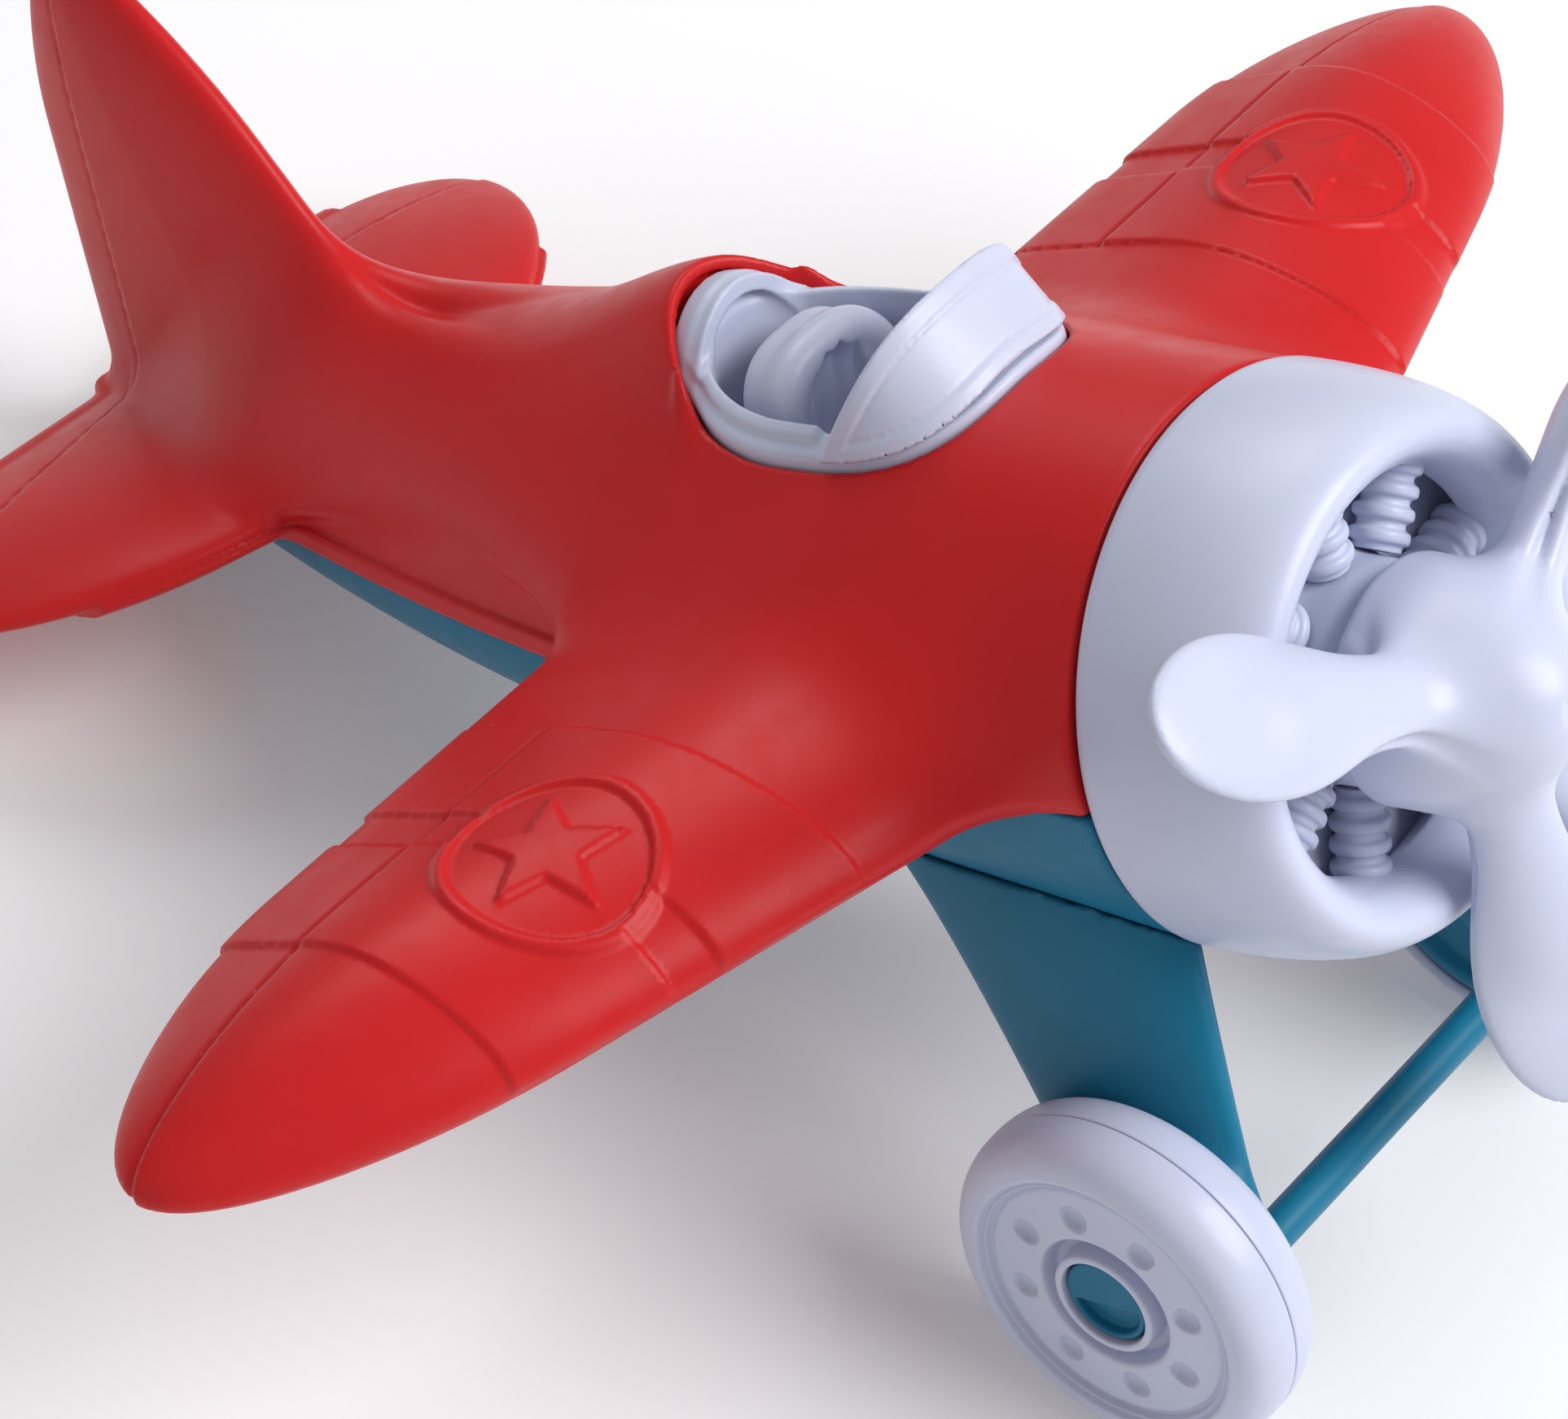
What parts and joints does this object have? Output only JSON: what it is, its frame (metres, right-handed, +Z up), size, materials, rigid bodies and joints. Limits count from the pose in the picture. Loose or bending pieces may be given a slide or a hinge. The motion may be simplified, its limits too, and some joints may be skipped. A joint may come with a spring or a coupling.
{
  "type": "toy airplane",
  "caption": "Chunky moulded-plastic toy monoplane with a radial engine, open cockpit, free-turning propeller and fixed wheels.",
  "frame": {"origin": "centre of the bounding box, on the floor that the wheels and the tail skid stand on", "axes": "+X to port along the wingspan, +Y aft, +Z up; the nose points to -Y and up by 26 degrees"},
  "size_m": [0.2404, 0.2256, 0.1156],
  "materials": {
    "red_plastic": "satin moulded",
    "blue_plastic": "satin moulded",
    "white_plastic": "satin moulded"
  },
  "bodies": {
    "airframe": {"upper_shell": "red_plastic", "wing_cover_left": "red_plastic", "wing_cover_right": "red_plastic", "belly_shell": "blue_plastic", "gear_leg_left": "blue_plastic", "gear_leg_right": "blue_plastic", "spreader_bar": "blue_plastic", "axle_pin_left": "blue_plastic", "axle_pin_right": "blue_plastic", "tail_skid": "blue_plastic", "cowling": "white_plastic", "engine_crankcase": "white_plastic", "engine_cylinder_1": "white_plastic", "engine_cylinder_2": "white_plastic", "engine_cylinder_3": "white_plastic", "engine_cylinder_4": "white_plastic", "engine_cylinder_5": "white_plastic", "engine_cylinder_6": "white_plastic", "engine_cylinder_7": "white_plastic", "engine_cylinder_8": "white_plastic", "engine_cylinder_9": "white_plastic", "cockpit_tub": "white_plastic", "pilot_seat": "white_plastic", "windscreen": "white_plastic"},
    "propeller_body": {"propeller": "white_plastic", "propeller_shaft": "white_plastic", "shaft_collar": "white_plastic"},
    "wheel_left_body": {"wheel_outer_left": "white_plastic", "wheel_inner_left": "white_plastic"},
    "wheel_right_body": {"wheel_outer_right": "white_plastic", "wheel_inner_right": "white_plastic"}
  },
  "joints": [
    {"name": "propeller_spin", "type": "hinge", "parent": "airframe", "child": "propeller_body", "pos_m": [0, -0.06317, 0.07554], "axis": [0, -0.8985, 0.439], "continuous": true},
    {"name": "wheel_left_roll", "type": "hinge", "parent": "airframe", "child": "wheel_left_body", "pos_m": [0.03825, -0.08163, 0.02115], "axis": [1, 0, 0], "continuous": true},
    {"name": "wheel_right_roll", "type": "hinge", "parent": "airframe", "child": "wheel_right_body", "pos_m": [-0.03825, -0.08163, 0.02115], "axis": [1, 0, 0], "continuous": true}
  ]
}
